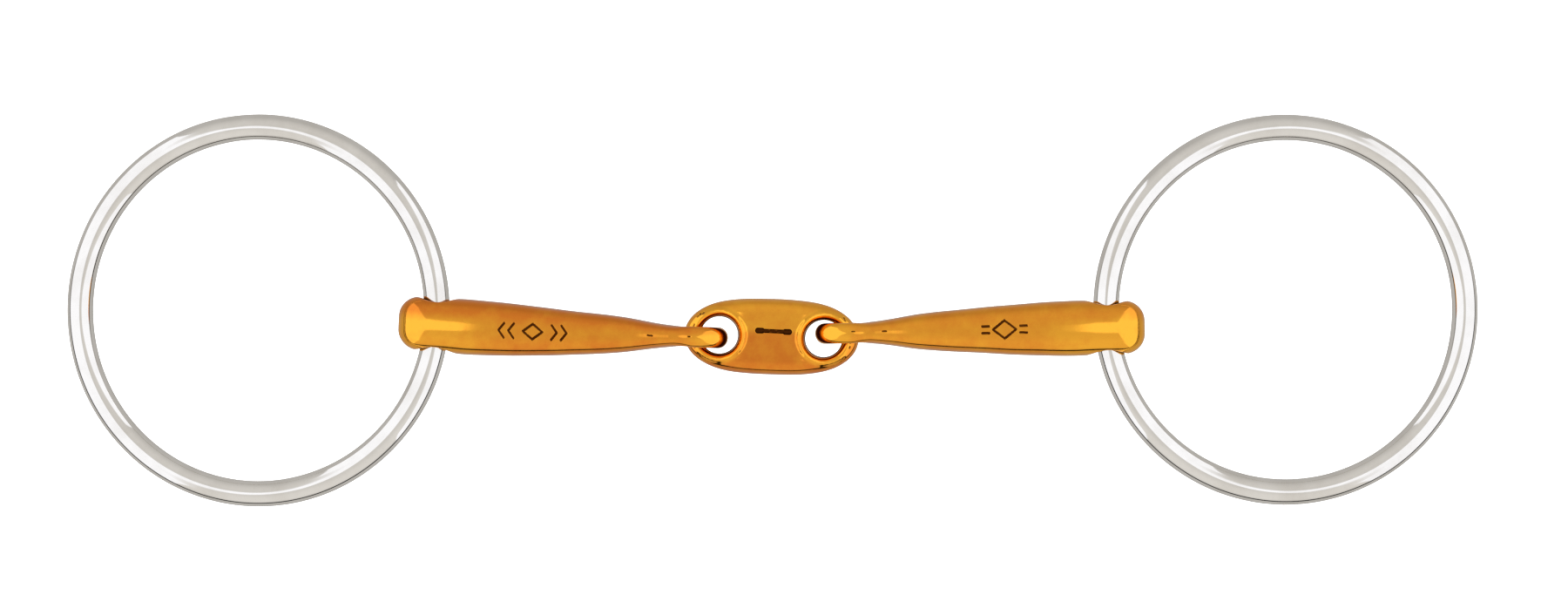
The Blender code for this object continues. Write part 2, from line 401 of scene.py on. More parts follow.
@dataclass(frozen=True)
class CopperAlloy:
    """Cast copper alloy with a little aluminium and zinc, tumbled, then polished by hand on a soft wheel.

    To the eye it is a warm yellow gold with soft, slightly wavy reflections. A thin film of oxide turns it
    more orange, and brown where the wheel doesn't reach: in engraving, pits and holes. On top of the film,
    painted shade makes the arms' flanks more orange, and a painted highlight makes the thick ends, the eye
    tips and the link's beads paler.
    """

    # The bright colour is also the painted highlight's colour; the orange film colour is also the painted
    # shade on the arms' flanks.
    bright: str = "#FCB238"
    filmed_and_shaded: str = "#E4832D"
    tarnished: str = "#4A2409"
    polished_roughness: float = 0.07
    filmed_roughness: float = 0.11
    tarnished_roughness: float = 0.45
    mottle: float = 3.0  # mm between cloudy patches of film
    mottle_spread: float = 0.22  # how far a patch adds to the film or takes from it
    wheel_marks: float = 0.25  # mm between marks, coarser than the real 0.05 mm so that they show
    wheel_mark_depth: float = 0.0015  # mm
    peel: float = 0.9  # mm between the soft dimples that tumbling leaves
    peel_depth: float = 0.004  # mm

    def material(self) -> bpy.types.Material:
        """Builds the finish. It reads the tarnish values and the film values, which also hold painted shade
        and highlight.
        """
        material, tree, shader = new_material("cast_copper_alloy_wheel_polished")
        place = add_node(tree, "ShaderNodeTexCoord").outputs["Object"]
        film_and_painted_light = add_node(tree, "ShaderNodeAttribute", {"attribute_name": "film_and_painted_light"}).outputs["Fac"]
        tarnish = add_node(tree, "ShaderNodeAttribute", {"attribute_name": "tarnish"}).outputs["Fac"]
        clouds = add_node(tree, "ShaderNodeTexNoise", Vector=place, Scale=1 / (self.mottle * MM), Detail=5.0,
                          Roughness=0.62)
        spread = add_node(tree, "ShaderNodeMapRange", Value=clouds.outputs["Fac"], i1=0.3, i2=0.7,
                          i3=-self.mottle_spread, i4=self.mottle_spread)
        # The film values carry painted shade and painted highlight, so this mix paints them into the base
        # colour.
        amount = add_node(tree, "ShaderNodeMath", {"operation": "ADD", "use_clamp": True}, i0=film_and_painted_light,
                          i1=spread.outputs[0])
        lengthwise = add_node(tree, "ShaderNodeMapping", Vector=place, Scale=(0.12, 1.0, 1.0))
        marks = add_node(tree, "ShaderNodeTexNoise", Vector=lengthwise.outputs[0],
                         Scale=1 / (self.wheel_marks * MM), Detail=3.0, Roughness=0.7)
        dimples = add_node(tree, "ShaderNodeTexNoise", Vector=place, Scale=1 / (self.peel * MM), Detail=2.0)
        metal = add_node(tree, "ShaderNodeMix", {"data_type": "RGBA"}, i0=amount.outputs[0],
                         i6=linear(self.bright), i7=linear(self.filmed_and_shaded))
        whole = add_node(tree, "ShaderNodeMix", {"data_type": "RGBA"}, i0=tarnish, i6=metal.outputs[2],
                         i7=linear(self.tarnished))
        tree.links.new(whole.outputs[2], shader.inputs["Base Color"])
        rough = add_node(tree, "ShaderNodeMapRange", Value=amount.outputs[0], i1=0.0, i2=1.0,
                         i3=self.polished_roughness, i4=self.filmed_roughness)
        dull = add_node(tree, "ShaderNodeMix", {"data_type": "FLOAT"}, i0=tarnish, i2=rough.outputs[0],
                        i3=self.tarnished_roughness)
        tree.links.new(dull.outputs[0], shader.inputs["Roughness"])
        peel = add_node(tree, "ShaderNodeBump", Strength=1.0, Distance=self.peel_depth * MM,
                        Height=dimples.outputs["Fac"])
        fine = add_node(tree, "ShaderNodeBump", Strength=1.0, Distance=self.wheel_mark_depth * MM,
                        Height=marks.outputs["Fac"], Normal=peel.outputs[0])
        tree.links.new(fine.outputs[0], shader.inputs["Normal"])
        shader.inputs["Metallic"].default_value = 1.0
        return material


@dataclass(frozen=True)
class StainlessWire:
    """Stainless steel rod, drawn, bent, butt welded and mirror polished.

    To the eye it is a bright, slightly warm grey with crisp reflections, drawn out along the wire, and with
    a haze of fine handling scratches that only show beside a bright edge.
    """

    clean: str = "#E8E5DF"
    hazed: str = "#DEDAD3"
    mirror_roughness: float = 0.055
    hazed_roughness: float = 0.1
    haze: float = 9.0  # mm between hazy patches
    draw_lines: float = 0.18  # mm between draw lines: coarser than the real 0.03 mm, so that they show
    draw_line_depth: float = 0.0007  # mm

    def material(self) -> bpy.types.Material:
        """Builds the finish. It reads how far along and round the wire each point is."""
        material, tree, shader = new_material("drawn_stainless_steel_mirror_polished")
        wire = add_node(tree, "ShaderNodeAttribute", {"attribute_name": "wire"}).outputs["Vector"]
        place = add_node(tree, "ShaderNodeTexCoord").outputs["Object"]
        patches = add_node(tree, "ShaderNodeTexNoise", Vector=place, Scale=1 / (self.haze * MM), Detail=4.0,
                           Roughness=0.6)
        amount = add_node(tree, "ShaderNodeMapRange", Value=patches.outputs["Fac"], i1=0.42, i2=0.7)
        lengthwise = add_node(tree, "ShaderNodeMapping", Vector=wire, Scale=(0.03, 1.0, 1.0))
        lines = add_node(tree, "ShaderNodeTexNoise", Vector=lengthwise.outputs[0],
                         Scale=1 / (self.draw_lines * MM), Detail=4.0, Roughness=0.7)
        colour = add_node(tree, "ShaderNodeMix", {"data_type": "RGBA"}, i0=amount.outputs[0],
                          i6=linear(self.clean), i7=linear(self.hazed))
        tree.links.new(colour.outputs[2], shader.inputs["Base Color"])
        streaks = add_node(tree, "ShaderNodeMath", {"operation": "MULTIPLY"}, i0=amount.outputs[0],
                           i1=lines.outputs["Fac"])
        rough = add_node(tree, "ShaderNodeMapRange", Value=streaks.outputs[0], i1=0.0, i2=0.7,
                         i3=self.mirror_roughness, i4=self.hazed_roughness)
        tree.links.new(rough.outputs[0], shader.inputs["Roughness"])
        bump = add_node(tree, "ShaderNodeBump", Strength=1.0, Distance=self.draw_line_depth * MM,
                        Height=lines.outputs["Fac"])
        tree.links.new(bump.outputs[0], shader.inputs["Normal"])
        shader.inputs["Metallic"].default_value = 1.0
        return material


# --------------------------------------------------------------------------------------------------
# Castings
# --------------------------------------------------------------------------------------------------


@dataclass
class Casting:
    """A casting of the mouthpiece. A kind of casting says what its place and its field are."""

    name: str
    material: bpy.types.Material
    voxel: float = 0.3
    fine_cuts: int = 3
    unevenness: float = 0.02
    unevenness_length: float = 9.0
    mean_sink: float = 1.6
    tarnish_depth: float = 0.12
    seed: int = 1

    def place(self) -> Place:
        """Where the casting stands, from the frame."""
        raise NotImplementedError

    def solid(self, points: np.ndarray) -> np.ndarray:
        """The casting's field before it was engraved and polished."""
        raise NotImplementedError

    def cuts(self, points: np.ndarray) -> np.ndarray:
        """How deep the engraving and the pits are at each point."""
        raise NotImplementedError

    def film_and_painted_light(self, points: np.ndarray) -> np.ndarray:
        """How much orange film is on each point, from 0 to 1, with painted shade and painted highlight mixed
        in.
        """
        raise NotImplementedError

    def hidden(self, points: np.ndarray) -> np.ndarray:
        """How far each point is out of the polishing wheel's reach, from 0 to 1."""
        raise NotImplementedError

    def finished(self, points: np.ndarray) -> np.ndarray:
        """The field of the finished casting."""
        wavy = self.unevenness * (ripple(points, self.unevenness_length, self.seed) - self.mean_sink)
        return self.solid(points) - wavy + self.cuts(points)

    def build(self) -> bpy.types.Object:
        """Covers the CAD node, slides the cover onto the field, and dresses it."""
        mesh = covered(self.name, self.voxel)
        place = self.place()
        edges = np.empty(len(mesh.edges) * 2, np.int32)
        mesh.edges.foreach_get("vertices", edges)
        edges = edges.reshape(-1, 2)
        points = slide(place.local(points_of(mesh)), self.solid, 6)
        for _ in range(6):
            points = slide(relax(points, edges, 0.6), self.solid, 2)
        mesh.vertices.foreach_set("co", place.shared(points).astype(np.float32).ravel())
        refined(mesh, self.cuts(points) > 0.001, self.fine_cuts)
        points = slide(place.local(points_of(mesh)), self.finished, 6, reach=0.2)
        mesh.vertices.foreach_set("co", place.shared(points).astype(np.float32).ravel())
        mesh.update()
        mesh.shade_smooth()
        normals = gradient(points, self.finished) @ place.axes
        normals /= np.maximum(np.linalg.norm(normals, axis=1, keepdims=True), 1e-9)
        mesh.normals_split_custom_set_from_vertices(normals.astype(np.float32))
        # The film values also carry painted shade and painted highlight, not only the orange film.
        put_values(mesh, "film_and_painted_light", self.film_and_painted_light(points))
        deep = np.clip(self.cuts(points) / self.tarnish_depth, 0, 1)
        put_values(mesh, "tarnish", np.clip(np.maximum(deep, self.hidden(points)), 0, 1))
        return install(mesh, self.name, self.material)


@dataclass
class Arm(Casting):
    """One arm: an eye threaded through the link, a neck, a body that swells outwards, and a cross bore."""

    side: str = "left"
    bow: float = 0.0
    # Film on the upper flank, the middle and the lower flank: the extra on the flanks is painted shade.
    film_and_shade_above: float = 0.95
    film_middle: float = 0.5
    film_and_shade_below: float = 0.75
    marks: tuple[Stroke, ...] = ()
    pits: tuple[Stroke, ...] = ()
    end: float = 61.2
    end_fillet: float = 4.4
    end_fall: float = 6.0
    half_widths: tuple[tuple[float, float], ...] = (
        (-6.0, 2.15),
        (0.0, 2.25),
        (4.0, 2.30),
        (8.0, 2.75),
        (15.0, 3.80),
        (26.0, 4.70),
        (38.0, 5.50),
        (46.5, 5.80),
        (52.0, 5.65),
        (57.4, 5.60),
    )
    half_heights: tuple[tuple[float, float], ...] = (
        (0.0, 6.00),
        (3.0, 5.85),
        (7.0, 5.60),
        (12.0, 5.35),
        (20.0, 5.30),
        (32.0, 5.50),
        (40.0, 5.85),
        (46.5, 5.90),
        (54.0, 5.60),
        (61.2, 5.20),
    )
    neck_power: float = 3.1
    body_power: float = 2.8
    power_blend: tuple[float, float] = (4.0, 16.0)
    eye_reach: float = 7.3
    eye_height: float = 6.0
    eye_hole: float = 3.3
    eye_wire_width: float = 2.2
    neck_blend: tuple[float, float] = (0.0, 5.0)
    bore_radius: float = 3.3
    bore_straight: float = 2.5
    bore_flare: float = 0.55
    bore_mouth: float = 5.5
    bore_lip: float = 0.7
    bore_tarnish: tuple[float, float] = (4.9, 5.7)
    # How much the painted highlight takes off the film.
    painted_highlight_strength: float = 0.55

    def place(self) -> Place:
        """Stands in the middle of the eye, and runs along the arm to the bore."""
        eye, bore = (np.array(joint(f"{self.side}_{name}")["pos_m"]) for name in ("arm_fold", "ring_swing"))
        along = (bore - eye) / np.linalg.norm(bore - eye)
        across = np.cross(UP, along) * np.sign(along[0])
        return Place(eye, np.array([along, across, UP]))

    def bore_at(self) -> float:
        """How far the bore is from the eye."""
        eye, bore = (np.array(joint(f"{self.side}_{name}")["pos_m"]) for name in ("arm_fold", "ring_swing"))
        return float(np.linalg.norm(bore - eye)) / MM

    def body(self, along: np.ndarray, across: np.ndarray, up: np.ndarray) -> np.ndarray:
        """The neck and the body, a rounded square in section, with a rounded end."""
        past = np.clip((along - self.end + self.end_fillet) / self.end_fillet, 0, 0.998)
        width = curve(self.half_widths, along) - self.end_fillet * (1 - np.sqrt(1 - past**2))
        fall = np.clip((along - self.end + self.end_fall) / self.end_fall, 0, 0.998)
        height = curve(self.half_heights, along) * np.sqrt(1 - fall**2)
        power = self.neck_power + (self.body_power - self.neck_power) * ease(along, *self.power_blend)
        across = across + self.bow * np.sin(pi * np.clip(along, 0, self.end) / self.end)
        shape = ((np.abs(across) / width) ** power + (np.abs(up) / height) ** power) ** (1 / power)
        reach = np.maximum(np.hypot(across, up), 1e-6)
        skin = reach - reach / np.maximum(shape, 1e-6)
        return soft_max(skin, along - self.end, 0.3)

    def eye(self, along: np.ndarray, across: np.ndarray, up: np.ndarray) -> np.ndarray:
        """The eye, a ring that stands on edge, taller along the arm than it is thick."""
        away = np.maximum(np.hypot(along, up), 1e-6)
        outer = away / np.hypot(along / self.eye_reach, up / self.eye_height).clip(1e-6)
        middle, half = (outer + self.eye_hole) / 2, (outer - self.eye_hole) / 2
        return (np.hypot((away - middle) / half, across / self.eye_wire_width) - 1) * half

    def bore(self, along: np.ndarray, across: np.ndarray, up: np.ndarray) -> np.ndarray:
        """The bore that the ring runs in, as what it takes away: positive in the hole."""
        past = np.maximum(np.abs(across) - self.bore_straight, 0) / (self.bore_mouth - self.bore_straight)
        return self.bore_radius + self.bore_flare * past**2 - np.hypot(along - self.bore_at(), up)

    def solid(self, points: np.ndarray) -> np.ndarray:
        """Eye and body together, with the eye's hole and the bore taken away."""
        along, across, up = points.T
        eye, body = self.eye(along, across, up), self.body(along, across, up)
        whole = eye + (body - eye) * ease(along, *self.neck_blend)
        rounding = 1 - np.sqrt(np.clip(1 - (across / (self.eye_wire_width + 0.3)) ** 2, 0, 1))
        hole = self.eye_hole + 1.9 * rounding - np.hypot(along, up)
        whole = soft_max(whole, hole, 0.4)
        return soft_max(whole, self.bore(along, across, up), self.bore_lip)

    def cuts(self, points: np.ndarray) -> np.ndarray:
        """The engraved mark and the casting pits, on the front only."""
        along, across, up = points.T
        depth = np.zeros(len(points))
        for stroke in (*self.marks, *self.pits):
            depth = np.maximum(depth, stroke.cut(along, across))
        return depth * ease(up, 0.5, 2.0)

    def film_and_painted_light(self, points: np.ndarray) -> np.ndarray:
        """An even orange film. Painted shade makes the flanks more orange, most the upper one, and a painted
        highlight makes the thick end and the eye's tip paler and yellower.
        """
        along, across, _ = points.T
        out = across / curve(self.half_widths, along)
        # Painted shade: more orange on the upper flank and, less, on the lower flank.
        above = (self.film_and_shade_above - self.film_middle) * ease(out, 0.0, 0.55)
        below = (self.film_and_shade_below - self.film_middle) * ease(-out, 0.1, 0.8)
        # Painted highlight: paler, yellower metal on the top and lower flank of the thick end, and on the
        # eye's tip.
        painted_highlight = ease(along, 38.0, 50.0) * (1 - ease(out, -0.1, 0.6)) + 0.8 * ease(-along, -2.0, 2.0)
        return np.clip(self.film_middle + above + below - self.painted_highlight_strength * painted_highlight, 0, 1)

    def hidden(self, points: np.ndarray) -> np.ndarray:
        """Tarnish inside the bore and inside the eye."""
        along, across, up = points.T
        bore = ease(self.bore(along, across, up), -0.3, 0.0) * (1 - ease(np.abs(across), *self.bore_tarnish))
        eye = (1 - ease(np.hypot(along, up) - self.eye_hole, 0.0, 0.6)) * 0.8
        return np.maximum(bore, eye)


@dataclass
class Link(Casting):
    """The link in the middle: a flattened lozenge with a hole for each eye, and a plain groove in front."""

    half_length: float = 18.1
    half_width: float = 7.9
    outline_power: float = 3.0
    crown: float = 4.1
    flat: float = 3.9
    rim: float = 2.5
    crown_end: float = 5.0
    rim_start: float = 13.5
    edge_round: tuple[float, float] = (3.9, 2.1)
    section_power: float = 2.1
    flat_edge: float = 1.4
    hole_offset: float = 10.83
    hole_radius: float = 3.8
    lip_radius: float = 4.75
    lip_round: float = 0.85
    lip_rise: float = 0.3
    lip_fillet: float = 0.45
    groove: tuple[Stroke, ...] = (
        Stroke((-2.95, 1.2), (3.75, 1.1), width=0.7, depth=0.5),
        Stroke((-2.85, 1.2), (-2.0, 1.2), width=1.0, depth=0.55),
        Stroke((2.8, 1.1), (3.65, 1.1), width=1.0, depth=0.55),
    )
    pit_ring: float = 6.0
    pit_flattening: float = 0.93
    pits_each_side: int = 9

    def place(self) -> Place:
        """Stands in the middle of the link, and runs along its longest way."""
        points = points_of(frame["nodes"][self.name].data)
        middle = (points.min(axis=0) + points.max(axis=0)) / 2
        along = np.linalg.svd((points - middle) * (1, 1, 0), full_matrices=False)[2][0]
        along *= np.sign(along[0])
        return Place(middle, np.array([along, np.cross(UP, along), UP]))

    def outline(self, along: np.ndarray, across: np.ndarray) -> np.ndarray:
        """How far each point is outside the outline, seen from the front."""
        u, v = np.abs(along) / self.half_length, np.abs(across) / self.half_width
        value = u**self.outline_power + v**2
        slope = np.hypot(self.outline_power * u ** (self.outline_power - 1) / self.half_length,
                         2 * v / self.half_width)
        return (value - 1) / np.maximum(slope, 0.09)

    def half_height(self, along: np.ndarray) -> np.ndarray:
        """Half the thickness: thick in the middle and thinner round the holes."""
        return self.crown + (self.rim - self.crown) * ease(np.abs(along), self.crown_end, self.rim_start)

    def solid(self, points: np.ndarray) -> np.ndarray:
        """The rounded plate with its flats, its holes and the bead round each hole."""
        along, across, up = points.T
        height = self.half_height(along)
        middle, rim = self.edge_round
        edge = middle + (rim - middle) * ease(np.abs(along), self.crown_end, self.rim_start + 2.0)
        side = np.maximum(1 + self.outline(along, across) / edge, 0)
        power = self.section_power
        shape = (side**power + (np.abs(up) / height) ** power) ** (1 / power)
        whole = (shape - 1) * np.minimum(edge, height)
        whole = soft_max(whole, np.abs(up) - self.flat, self.flat_edge)
        away = np.hypot(np.abs(along) - self.hole_offset, across)
        bead = np.hypot(away - self.lip_radius, np.abs(up) - (height + self.lip_rise - self.lip_round))
        bead = soft_max(bead - self.lip_round, self.outline(along, across) + 0.5, 1.0)
        whole = soft_min(whole, bead, self.lip_fillet)
        rounding = 1 - np.sqrt(np.clip(1 - (up / (height + 0.4)) ** 2, 0, 1))
        return soft_max(whole, self.hole_radius + 1.3 * rounding - away, 0.6)

    def cuts(self, points: np.ndarray) -> np.ndarray:
        """The groove on the front, and the pitted skin that the casting mould left outside each hole."""
        along, across, up = points.T
        depth = np.zeros(len(points))
        for stroke in (*self.groove, *self.pits()):
            depth = np.maximum(depth, stroke.cut(along, across))
        return depth * ease(up, 0.5, 1.2)

    def pits(self) -> tuple[Stroke, ...]:
        """The pits, scattered along the foot of each bead on the side of the nearest end."""
        rng = np.random.default_rng(self.seed)
        found = []
        for way in (-1, 1):
            for _ in range(self.pits_each_side):
                turn = rng.uniform(-0.85, 0.85)
                reach = self.pit_ring + rng.uniform(-0.25, 0.25)
                at = way * (self.hole_offset + reach * cos(turn) * self.pit_flattening)
                across = reach * sin(turn)
                length = rng.uniform(0.1, 0.6)
                far = (at - way * sin(turn) * length, across + cos(turn) * length)
                found.append(Stroke((at, across), far, rng.uniform(0.22, 0.38), rng.uniform(0.08, 0.2)))
        return tuple(found)

    def film_and_painted_light(self, points: np.ndarray) -> np.ndarray:
        """Orange film, more orange on the lower half, and paler on the beads: partly wear and partly a
        painted highlight.
        """
        along, across, _ = points.T
        away = np.hypot(np.abs(along) - self.hole_offset, across)
        # The beads are paler and yellower: partly wear, partly a painted highlight.
        bead = 1 - ease(np.abs(away - self.lip_radius), 0.5, 1.5)
        return np.clip(0.25 + 0.6 * ease(-across, -1.6, -0.4) - 0.6 * bead, 0, 1)

    def hidden(self, points: np.ndarray) -> np.ndarray:
        """Tarnish inside the holes."""
        along, across, _ = points.T
        away = np.hypot(np.abs(along) - self.hole_offset, across)
        return 1 - ease(away - self.hole_radius, 0.05, 0.55)


# --------------------------------------------------------------------------------------------------
# Rings
# --------------------------------------------------------------------------------------------------


@dataclass
class Ring:
    """One ring of round wire. Its place, its size and how far it is out of round come from its CAD node."""

    name: str
    material: bpy.types.Material
    weld_at: float
    seed: int
    stations: int = 288
    sides: int = 48
    unevenness: float = 0.012
    unevenness_length: float = 16.0
    mean_sink: float = 2.2
    weld_length: float = 5.0
    weld_sink: float = 0.035

    def build(self) -> bpy.types.Object:
        """Sweeps the wire round its oval, with a planished butt weld, and dresses it."""
        points = points_of(frame["nodes"][self.name].data)
        middle = points.mean(axis=0)
        normal = np.linalg.svd(points - middle, full_matrices=False)[2][2]
        normal *= np.sign(normal[2])
        long_way = np.array([0.0, 1.0, 0.0]) - normal[1] * normal
        long_way /= np.linalg.norm(long_way)
        axes = np.array([np.cross(long_way, normal), long_way, normal])
        extent = np.ptp((points - middle) @ axes.T, axis=0) / 2
        wire = extent[2]
        turn = 2 * pi * np.arange(self.stations) / self.stations
        turns, rolls = np.meshgrid(turn, 2 * pi * np.arange(self.sides) / self.sides, indexing="ij")
        short, long = extent[0] - wire, extent[1] - wire
        centre = np.stack([short * np.cos(turns), long * np.sin(turns), np.zeros_like(turns)], axis=-1)
        outward = np.stack([long * np.cos(turns), short * np.sin(turns), np.zeros_like(turns)], axis=-1)
        outward /= np.linalg.norm(outward, axis=-1, keepdims=True)
        way = outward * np.cos(rolls)[..., None] + np.array([0, 0, 1.0]) * np.sin(rolls)[..., None]
        flat = (centre + wire * way).reshape(-1, 3)
        wavy = self.unevenness * (ripple(flat / MM, self.unevenness_length, self.seed) - self.mean_sink)
        off = (np.mod(turns - self.weld_at + pi, 2 * pi) - pi) * (short + long) / 2 / MM
        weld = self.weld_sink * (1 - ease(np.abs(off), 0.0, self.weld_length)) * (0.6 + 0.4 * np.sin(rolls))
        radius = wire + MM * (wavy.reshape(turns.shape) - weld)
        grid = (centre + radius[..., None] * way).reshape(-1, 3) @ axes + middle
        i, j = np.meshgrid(np.arange(self.stations), np.arange(self.sides), indexing="ij")
        next_i, next_j = (i + 1) % self.stations, (j + 1) % self.sides
        here, there = i * self.sides, next_i * self.sides
        corners = [here + j, there + j, there + next_j, here + next_j]
        faces = np.stack(corners, axis=-1).reshape(-1, 4)
        mesh = bpy.data.meshes.new(f"{self.name}_finished")
        mesh.from_pydata(grid.tolist(), [], faces.tolist())
        mesh.update()
        mesh.shade_smooth()
        around = np.stack([turns * (short + long) / 2, rolls * wire, np.zeros_like(turns)], axis=-1)
        put_vectors(mesh, "wire", around.reshape(-1, 3))
        return install(mesh, self.name, self.material)


# --------------------------------------------------------------------------------------------------
# The studio
# --------------------------------------------------------------------------------------------------


# The sky's brightness, as (degrees from straight up, brightness) pairs. In front, a thin dark gap at the
# horizon draws a dark line along the edges of the metal.
FRONT_SKY = ((0, 0.72), (35, 0.84), (72, 0.86), (87, 0.7), (90, 0.02), (99, 0.02), (102, 0.6), (130, 0.55),
             (180, 0.4))
BACK_SKY = ((0, 0.72), (35, 0.76), (60, 0.7), (90, 0.57), (130, 0.55), (180, 0.4))


@dataclass(frozen=True)
class Studio:
    """A pale floor, soft light, a softbox and a cloth past each end of the bit, and the camera overhead."""

    lens: float = 100.0
    sensor: float = 36.0
    frame_width: float = 0.3253
    look_at: tuple[float, float, float] = (0.00227, 0.0006, 0.006)
    floor_size: float = 6.0
    floor_below: float = 0.1
    overhead_height: float = 1.6
    overhead_size: float = 2.2
    overhead_power: float = 13.0
    board_glow: float = 0.8
    softbox_distance: float = 0.75
    softbox_width: float = 1.9
    softbox_height: float = 0.85
    softbox_radiance: float = 1.3
    cloth_start: float = 0.095
    cloth_full: float = 0.2
    cloth_spread: tuple[float, float] = (1.2, 2.2)
    front_to_back: tuple[float, float] = (-0.25, 0.5)
    sky_tint: tuple[float, float, float] = (1.0, 0.98, 0.96)

    def camera(self) -> None:
        """The camera, straight above, with the bit's length across the picture."""
        data = bpy.data.cameras.new("camera")
        data.lens, data.sensor_width = self.lens, self.sensor
        height = self.frame_width * self.lens / self.sensor
        camera = bpy.data.objects.new("camera", data)
        camera.location = Vector(self.look_at) + Vector((0, 0, height))
        data.clip_start, data.clip_end = height / 50, height * 20
        bpy.context.scene.collection.objects.link(camera)
        bpy.context.scene.camera = camera

    def card(self, name: str, corners: list[tuple[float, float, float]], material: bpy.types.Material
             ) -> bpy.types.Object:
        """A flat card that isn't part of the bit.

        Args:
            name: its name.
            corners: its corners in order.
            material: what it looks like.

        Returns:
            The card.
        """
        mesh = bpy.data.meshes.new(name)
        mesh.from_pydata(corners, [], [tuple(range(len(corners)))])
        mesh.materials.append(material)
        card = bpy.data.objects.new(name, mesh)
        bpy.context.scene.collection.objects.link(card)
        return card

    def glow(self, name: str, colour: str, strength: float) -> bpy.types.Material:
        """A material that only gives light.

        Args:
            name: its name.
            colour: its sRGB hex colour.
            strength: how bright it is.

        Returns:
            The material.
        """
        material = bpy.data.materials.new(name)
        material.use_nodes = True
        tree = material.node_tree
        tree.nodes.clear()
        light = add_node(tree, "ShaderNodeEmission", Color=linear(colour), Strength=strength)
        add_node(tree, "ShaderNodeOutputMaterial", Surface=light.outputs[0])
        return material

    def floor(self) -> None:
        """A matt white board, low enough for the arms and rings to swing down, and clear from below.

        Only the camera and the soft light see it: the metal reflects the surround.
        """
        material, tree, shader = new_material("matt_white_board")
        shader.inputs["Base Color"].default_value = linear("#F4F3F1")
        shader.inputs["Roughness"].default_value = 0.9
        shader.inputs["Emission Color"].default_value = linear("#FFFFFF")
        shader.inputs["Emission Strength"].default_value = self.board_glow
        under = add_node(tree, "ShaderNodeNewGeometry").outputs["Backfacing"]
        clear = add_node(tree, "ShaderNodeBsdfTransparent")
        both = add_node(tree, "ShaderNodeMixShader", i0=under, i1=shader.outputs[0], i2=clear.outputs[0])
        tree.links.new(both.outputs[0], tree.nodes["Material Output"].inputs["Surface"])
        half, z = self.floor_size / 2, -self.floor_below
        corners = [(-half, -half, z), (half, -half, z), (half, half, z), (-half, half, z)]
        floor = self.card("floor", corners, material)
        floor.visible_glossy = False

    def softboxes(self) -> None:
        """A white softbox past each end of the bit."""
        white = self.glow("softbox_cloth", SOFTBOX_WHITE, self.softbox_radiance)
        half, top = self.softbox_width / 2, self.softbox_height
        for name, x in (("left_softbox", -self.softbox_distance), ("right_softbox", self.softbox_distance)):
            corners = [(x, -half, 0.02), (x, half, 0.02), (x, half, top), (x, -half, top)]
            box = self.card(name, corners, white)
            box.visible_camera = box.visible_shadow = False

    def thinning_cloth(self) -> bpy.types.Material:
        """White cloth lit like a softbox, which thins out towards the middle and towards its two sides."""
        material = self.glow("thinning_cloth", SOFTBOX_WHITE, self.softbox_radiance)
        tree = material.node_tree
        light = tree.nodes["Emission"]
        place = add_node(tree, "ShaderNodeTexCoord").outputs["Object"]
        size = add_node(tree, "ShaderNodeVectorMath", {"operation": "ABSOLUTE"}, i0=place)
        split = add_node(tree, "ShaderNodeSeparateXYZ", Vector=size.outputs[0])
        square = add_node(tree, "ShaderNodeMath", {"operation": "POWER"}, i0=split.outputs[0], i1=2.0)
        slant = add_node(tree, "ShaderNodeMath", {"operation": "DIVIDE"}, i0=split.outputs[1],
                         i1=square.outputs[0])
        smooth = {"interpolation_type": "SMOOTHSTEP"}
        out = add_node(tree, "ShaderNodeMapRange", smooth, Value=split.outputs[0], i1=self.cloth_start,
                       i2=self.cloth_full)
        narrow, wide = self.cloth_spread
        beside = add_node(tree, "ShaderNodeMapRange", smooth, Value=slant.outputs[0], i1=narrow, i2=wide,
                          i3=1.0, i4=0.0)
        thick = add_node(tree, "ShaderNodeMath", {"operation": "MULTIPLY"}, i0=out.outputs[0],
                         i1=beside.outputs[0])
        clear = add_node(tree, "ShaderNodeBsdfTransparent")
        both = add_node(tree, "ShaderNodeMixShader", i0=thick.outputs[0], i1=clear.outputs[0],
                        i2=light.outputs[0])
        tree.links.new(both.outputs[0], tree.nodes["Material Output"].inputs["Surface"])
        return material

    def cloths(self) -> None:
        """Overhead, from near the middle to the top of each softbox: a cloth that grows brighter outwards."""
        material = self.thinning_cloth()
        near, far, half = self.cloth_start, self.softbox_distance, self.softbox_width / 2
        for name, side in (("left_cloth", -1), ("right_cloth", 1)):
            corners = [(side * near, -half, self.softbox_height), (side * far, -half, self.softbox_height),
                       (side * far, half, self.softbox_height), (side * near, half, self.softbox_height)]
            card = self.card(name, corners, material)
            card.visible_camera = card.visible_diffuse = card.visible_shadow = False

    def overhead(self) -> None:
        """A large soft light that whitens the floor, and that the metal doesn't reflect."""
        data = bpy.data.lights.new("overhead", "AREA")
        data.shape, data.size, data.energy = "SQUARE", self.overhead_size, self.overhead_power
        light = bpy.data.objects.new("overhead", data)
        light.location = (0, 0, self.overhead_height)
        light.visible_glossy = light.visible_camera = False
        bpy.context.scene.collection.objects.link(light)

